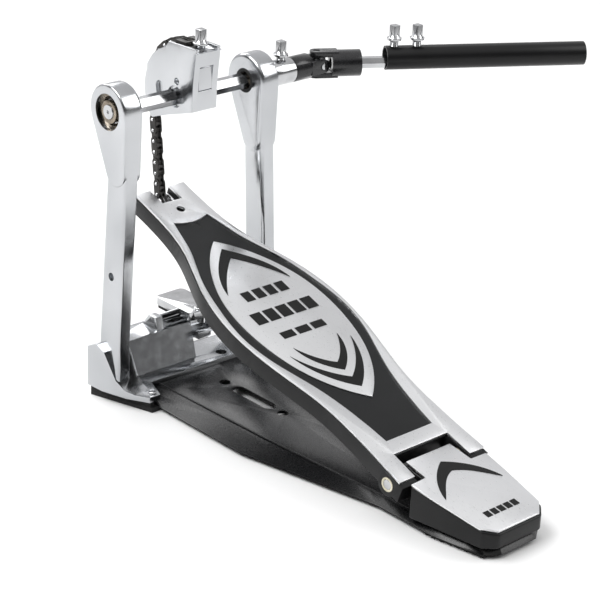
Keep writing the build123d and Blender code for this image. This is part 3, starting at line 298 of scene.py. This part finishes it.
# ---- geometry node trees for what repeats ----
class Tree:
    def __init__(self, name, sizes):
        self.tree = bpy.data.node_groups.new(name, "GeometryNodeTree")
        self.tree.interface.new_socket("Geometry", in_out="OUTPUT", socket_type="NodeSocketGeometry")
        self.sockets = {}
        for label, value in sizes.items():
            kind = "NodeSocketInt" if isinstance(value, int) else "NodeSocketFloat"
            socket = self.tree.interface.new_socket(label, in_out="INPUT", socket_type=kind)
            socket.default_value = value
            self.sockets[label] = socket.identifier
        self.source = self.tree.nodes.new("NodeGroupInput")

    def add(self, kind, links=None, values=None, **settings):
        node = self.tree.nodes.new(kind)
        for key, value in settings.items():
            setattr(node, key, value)
        for key, value in (values or {}).items():
            node.inputs[key].default_value = value
        for key, output in (links or {}).items():
            self.tree.links.new(output, node.inputs[key])
        return node

    def size(self, label):
        return self.source.outputs[label]

    def close(self, geometry, material):
        realize = self.add("GeometryNodeRealizeInstances", {"Geometry": geometry})
        paint = self.add("GeometryNodeSetMaterial", {"Geometry": realize.outputs["Geometry"]})
        paint.inputs["Material"].default_value = material
        out = self.tree.nodes.new("NodeGroupOutput")
        self.tree.links.new(paint.outputs["Geometry"], out.inputs["Geometry"])


def grown(name, tree, sizes):
    mesh = bpy.data.meshes.new(name)
    holder = bpy.data.objects.new(name + "Holder", mesh)
    bpy.context.scene.collection.objects.link(holder)
    modifier = holder.modifiers.new("grow", "NODES")
    modifier.node_group = tree.tree
    for label, value in sizes.items():
        modifier[tree.sockets[label]] = value
    return plainMesh(holder, name)


def joined(name, members, body):
    bm = bmesh.new()
    for member in members:
        bm.from_mesh(member.data)
    mesh = bpy.data.meshes.new(name)
    bm.to_mesh(mesh)
    bm.free()
    for material in members[0].data.materials:
        mesh.materials.append(material)
    for member in members:
        bpy.data.objects.remove(member)
    piece = bpy.data.objects.new(name, mesh)
    bpy.context.scene.collection.objects.link(piece)
    mesh.shade_smooth()
    mesh.set_sharp_from_angle(angle=radians(40))
    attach(piece, body)
    return piece


def placed(obj, matrix):
    obj.data.transform(matrix)
    if matrix.determinant() < 0:
        obj.data.flip_normals()
    return obj


# rings that read as a thread, stacked along Z
threadSizes = {"Rings": 6, "Pitch": 0.0008, "Radius": 0.003, "Crest": 0.00032}
threadTree = Tree("threadRings", threadSizes)
ringPath = threadTree.add(
    "GeometryNodeCurvePrimitiveCircle", {"Radius": threadTree.size("Radius")}, {"Resolution": 28}
)
crest = threadTree.add(
    "GeometryNodeCurvePrimitiveCircle", {"Radius": threadTree.size("Crest")}, {"Resolution": 6}
)
ring = threadTree.add(
    "GeometryNodeCurveToMesh",
    {"Curve": ringPath.outputs["Curve"], "Profile Curve": crest.outputs["Curve"]},
)
step = threadTree.add("ShaderNodeCombineXYZ", {"Z": threadTree.size("Pitch")})
stack = threadTree.add(
    "GeometryNodeMeshLine", {"Count": threadTree.size("Rings"), "Offset": step.outputs["Vector"]}
)
rings = threadTree.add(
    "GeometryNodeInstanceOnPoints", {"Points": stack.outputs["Mesh"], "Instance": ring.outputs["Mesh"]}
)
threadTree.close(rings.outputs["Instances"], materials["brightSteel"])

tubeDirection = Vector((cos(radians(30.5)), -sin(radians(30.5)), 0))
jointCentre = Vector((0.1236, 0, 0.2145))
boltFoot = Vector((0, 0, 0.0124))
threads = {
    # piece: body, places of the lowest ring, number of rings
    "tubeBoltThreads": (
        "tube", [jointCentre + tubeDirection * along * mm + boltFoot for along in (58.8, 76.3)], 6,
    ),
    "yokeBoltThread": ("camshaft", [Vector((0.088, 0, 0.2243))], 3),
    "clampBoltThread": ("jaw", [Vector((0.013, -0.0058, 0.0379))], 5),
}
for name, (body, places, count) in threads.items():
    made = []
    for index, place in enumerate(places):
        coil = grown(f"{name}{index}", threadTree, {"Rings": count})
        made.append(placed(coil, Matrix.Translation(place)))
    joined(name, made, body)
print("threads grown")

# rivet heads on the chain's pins: a domed disc on each side, one row for each body
rivetSizes = {"Rivets": 10, "Along": 0.008, "Radius": 0.00125, "High": 0.0006}
rivetTree = Tree("chainRivets", rivetSizes)
rivetStep = rivetTree.add("ShaderNodeCombineXYZ", {"X": rivetTree.size("Along")})
rivetLine = rivetTree.add(
    "GeometryNodeMeshLine", {"Count": rivetTree.size("Rivets"), "Offset": rivetStep.outputs["Vector"]}
)
rivetHead = rivetTree.add(
    "GeometryNodeMeshCone",
    {"Radius Bottom": rivetTree.size("Radius"), "Depth": rivetTree.size("High")},
    {"Vertices": 16, "Radius Top": 0.0008},
)
rivetHeads = rivetTree.add(
    "GeometryNodeInstanceOnPoints",
    {"Points": rivetLine.outputs["Mesh"], "Instance": rivetHead.outputs["Mesh"]},
)
rivetTree.close(rivetHeads.outputs["Instances"], materials["brightSteel"])

chain = {"pitch": 8.0, "radius": 37.5, "runLinks": 11, "lowPinY": 27.5, "shaftHeight": 214.5, "face": 3.25}
runLength = chain["pitch"] * chain["runLinks"]
pinDrop = sqrt(runLength**2 + chain["radius"] ** 2 - chain["lowPinY"] ** 2)
firstTurn = atan2(-pinDrop, chain["lowPinY"]) + atan2(runLength, chain["radius"])
linkTurn = 2 * asin(chain["pitch"] / 2 / chain["radius"])


def chainPin(index):
    # a chain pin's centre in the plane of the chain, in millimetres
    if index >= 0:
        turn = firstTurn + index * linkTurn
        return chain["radius"] * cos(turn), chain["shaftHeight"] + chain["radius"] * sin(turn)
    topY, topZ = chainPin(0)
    lowY, lowZ = chain["lowPinY"], chain["shaftHeight"] - pinDrop
    share = 1 + index / chain["runLinks"]
    return lowY + (topY - lowY) * share, lowZ + (topZ - lowZ) * share


def rivetRow(name, first, count, body):
    made = []
    for side in (-1, 1):
        for index in range(first, first + (count if first >= 0 else 1)):
            y, z = chainPin(index)
            nextY, nextZ = chainPin(index + 1)
            along = Vector((0, nextY - y, nextZ - z)).normalized()
            out = Vector((side, 0, 0))
            across = out.cross(along)
            turn = Matrix((along, across, out)).transposed().to_4x4()
            place = Matrix.Translation((side * chain["face"] * mm, y * mm, z * mm)) @ turn
            rivets = count if first < 0 else 1
            made.append(placed(grown(f"{name}{side}{index}", rivetTree, {"Rivets": rivets}), place))
    joined(name, made, body)


rivetRow("runRivets", -10, 10, "chain")
rivetRow("linkOneRivets", 0, 2, "link_1")
rivetRow("linkThreeRivets", 2, 2, "link_3")
rivetRow("camRivets", 4, 4, "camshaft")
print("rivets set")

# printed dashes on the lens and on the heel, where a maker would put lettering
dashSizes = {"Across": 4, "Gap": 0.009, "Wide": 0.0062, "Deep": 0.0035}
dashTree = Tree("printedDashes", dashSizes)
dashStep = dashTree.add("ShaderNodeCombineXYZ", {"X": dashTree.size("Gap")})
dashLine = dashTree.add(
    "GeometryNodeMeshLine", {"Count": dashTree.size("Across"), "Offset": dashStep.outputs["Vector"]}
)
dashSize = dashTree.add(
    "ShaderNodeCombineXYZ", {"X": dashTree.size("Wide"), "Y": dashTree.size("Deep")}, {"Z": 0.0003}
)
dash = dashTree.add("GeometryNodeMeshCube", {"Size": dashSize.outputs["Vector"]})
dashes = dashTree.add(
    "GeometryNodeInstanceOnPoints", {"Points": dashLine.outputs["Mesh"], "Instance": dash.outputs["Mesh"]}
)
dashTree.close(dashes.outputs["Instances"], materials["blackInk"])


def deckPlace(x, s, lift, height, slope):
    # a point on a sloping deck, s millimetres along it from the camshaft's plane
    turn = Matrix.Rotation(slope, 4, "X")
    return Matrix.Translation((0, 0, height)) @ turn @ Matrix.Translation((x * mm, s * mm, lift * mm))


lensRows = [(-94, 4, 10.4, 7.6, 9.5), (-116, 5, 11.6, 9.2, 11.5), (-137, 3, 14.0, 11.2, 6.5)]
made = []
for index, (s, count, gap, wide, deep) in enumerate(lensRows):
    rowSizes = {"Across": count, "Gap": gap * mm, "Wide": wide * mm, "Deep": deep * mm}
    row = grown(f"lensRow{index}", dashTree, rowSizes)
    made.append(placed(row, deckPlace(-(count - 1) * gap / 2, s, -0.3, 0.125, boardTurn)))
joined("lensDashes", made, "board")
row = grown("heelRow", dashTree, {"Across": 5, "Gap": 6.2 * mm, "Wide": 4.8 * mm, "Deep": 5.4 * mm})
placed(row, deckPlace(-12.4, -325, 0.1, 0.0832, heelTurn))
joined("heelDashes", [row], "frame")
print("dashes printed")


# ---- raised bead along each side of the base plate ----
bead = {
    "front": (40.3, 17), "waist": (35.2, -131), "rear": (27.4, -243), "end": (27.4, -284),
    "top": 8.25, "radius": 0.75,
}


def beadMesh(side):
    path = [bead["front"], bead["waist"], bead["rear"], bead["end"]]
    bm = bmesh.new()
    rows = []
    for x, y in path:
        ringVerts = []
        for index in range(10):
            turn = 2 * pi * index / 10
            across = bead["radius"] * cos(turn)
            up = bead["radius"] * 0.7 * sin(turn)
            ringVerts.append(bm.verts.new(((side * x + across) * mm, y * mm, (bead["top"] + up) * mm)))
        rows.append(ringVerts)
    for low, high in zip(rows, rows[1:]):
        for index in range(10):
            following = (index + 1) % 10
            bm.faces.new((low[index], low[following], high[following], high[index]))
    bm.faces.new(rows[0])
    bm.faces.new(list(reversed(rows[-1])))
    bmesh.ops.recalc_face_normals(bm, faces=bm.faces)
    mesh = bpy.data.meshes.new("bead")
    bm.to_mesh(mesh)
    bm.free()
    mesh.materials.append(materials["basePaint"])
    obj = bpy.data.objects.new("bead", mesh)
    bpy.context.scene.collection.objects.link(obj)
    return obj


joined("plateBeads", [beadMesh(-1), beadMesh(1)], "frame")
print("beads laid")

# ---- floor, light and camera ----
studio = {
    "floorSize": 9.0, "floorTone": (0.86, 0.86, 0.86), "key": 42, "fill": 20, "rimLight": 16,
    "sky": 0.85, "backdrop": (0.92, 0.92, 0.93), "backdropWay": (0.45, 0.89, 0), "backdropEdge": (0.25, 0.6),
}
floorMesh = bpy.data.meshes.new("floor")
half = studio["floorSize"] / 2
floorCorners = [(-half, -half, 0), (half, -half, 0), (half, half, 0), (-half, half, 0)]
floorMesh.from_pydata(floorCorners, [], [(0, 1, 2, 3)])
floor = bpy.data.objects.new("floor", floorMesh)
bpy.context.scene.collection.objects.link(floor)
floorMaterial, _, floorShader = newMaterial("paleFloor")
floorShader.inputs["Base Color"].default_value = (*studio["floorTone"], 1)
floorShader.inputs["Roughness"].default_value = 0.75
floorShader.inputs["Specular IOR Level"].default_value = 0.15
floorMesh.materials.append(floorMaterial)


def softBox(name, place, target, width, height, power):
    light = bpy.data.lights.new(name, "AREA")
    light.shape = "RECTANGLE"
    light.size = width
    light.size_y = height
    light.energy = power
    lamp = bpy.data.objects.new(name, light)
    lamp.location = place
    lamp.rotation_euler = (Vector(target) - Vector(place)).to_track_quat("-Z", "Y").to_euler()
    bpy.context.scene.collection.objects.link(lamp)


softBox("keyLight", (-1.2, 0.3, 1.9), (0, -0.1, 0.05), 1.6, 1.2, studio["key"])
softBox("fillLight", (1.6, -1.4, 1.5), (0, -0.1, 0.1), 1.2, 1.6, studio["fill"])
softBox("backLight", (0.4, 1.9, 1.4), (0, 0, 0.15), 2.0, 0.8, studio["rimLight"])

world = bpy.data.worlds.new("studioWorld")
bpy.context.scene.world = world
world.use_nodes = True
sky = world.node_tree
direction = sky.nodes.new("ShaderNodeTexCoord")
parts = sky.nodes.new("ShaderNodeSeparateXYZ")
ramp = sky.nodes.new("ShaderNodeValToRGB")
# tone of the world from straight down, 0, to straight up, 1
stops = [(0.0, 0.5), (0.5, 0.62), (0.54, 0.25), (0.63, 0.06), (0.76, 0.1), (0.86, 0.8), (1.0, 1.1)]
while len(ramp.color_ramp.elements) < len(stops):
    ramp.color_ramp.elements.new(0.5)
for element, (position, tone) in zip(ramp.color_ramp.elements, stops):
    element.position = position
    element.color = (tone, tone, tone, 1)
spread = sky.nodes.new("ShaderNodeMapRange")
spread.inputs["From Min"].default_value = -1
sky.links.new(direction.outputs["Generated"], parts.inputs["Vector"])
sky.links.new(parts.outputs["Z"], spread.inputs["Value"])
sky.links.new(spread.outputs["Result"], ramp.inputs["Fac"])
toBackdrop = sky.nodes.new("ShaderNodeVectorMath")
toBackdrop.operation = "DOT_PRODUCT"
toBackdrop.inputs[1].default_value = studio["backdropWay"]
backdropShare = sky.nodes.new("ShaderNodeMapRange")
backdropShare.interpolation_type = "SMOOTHSTEP"
backdropShare.inputs["From Min"].default_value = studio["backdropEdge"][0]
backdropShare.inputs["From Max"].default_value = studio["backdropEdge"][1]
withBackdrop = sky.nodes.new("ShaderNodeMix")
withBackdrop.data_type = "RGBA"
withBackdrop.inputs[7].default_value = (*studio["backdrop"], 1)
sky.links.new(direction.outputs["Generated"], toBackdrop.inputs[0])
sky.links.new(toBackdrop.outputs["Value"], backdropShare.inputs["Value"])
sky.links.new(backdropShare.outputs["Result"], withBackdrop.inputs[0])
sky.links.new(ramp.outputs["Color"], withBackdrop.inputs[6])
sky.links.new(withBackdrop.outputs[2], sky.nodes["Background"].inputs["Color"])
sky.nodes["Background"].inputs["Strength"].default_value = studio["sky"]

view = {
    "place": (-0.88134, -1.06153, 0.66395), "lens": 123.17,
    "right": (0.7393, -0.6724, 0.0385), "up": (0.2444, 0.3210, 0.9151), "back": (-0.6276, -0.6670, 0.4016),
}
camera = bpy.data.objects.new("camera", bpy.data.cameras.new("camera"))
camera.data.lens = view["lens"]
camera.data.sensor_width = 36
camera.data.clip_start = 0.05
camera.data.clip_end = 50
turn = Matrix((view["right"], view["up"], view["back"])).transposed()
camera.matrix_world = Matrix.Translation(view["place"]) @ turn.to_4x4()
bpy.context.scene.collection.objects.link(camera)
bpy.context.scene.camera = camera
bpy.context.scene.view_settings.view_transform = "Standard"
bpy.context.scene.view_settings.exposure = 0.0
print("studio set")
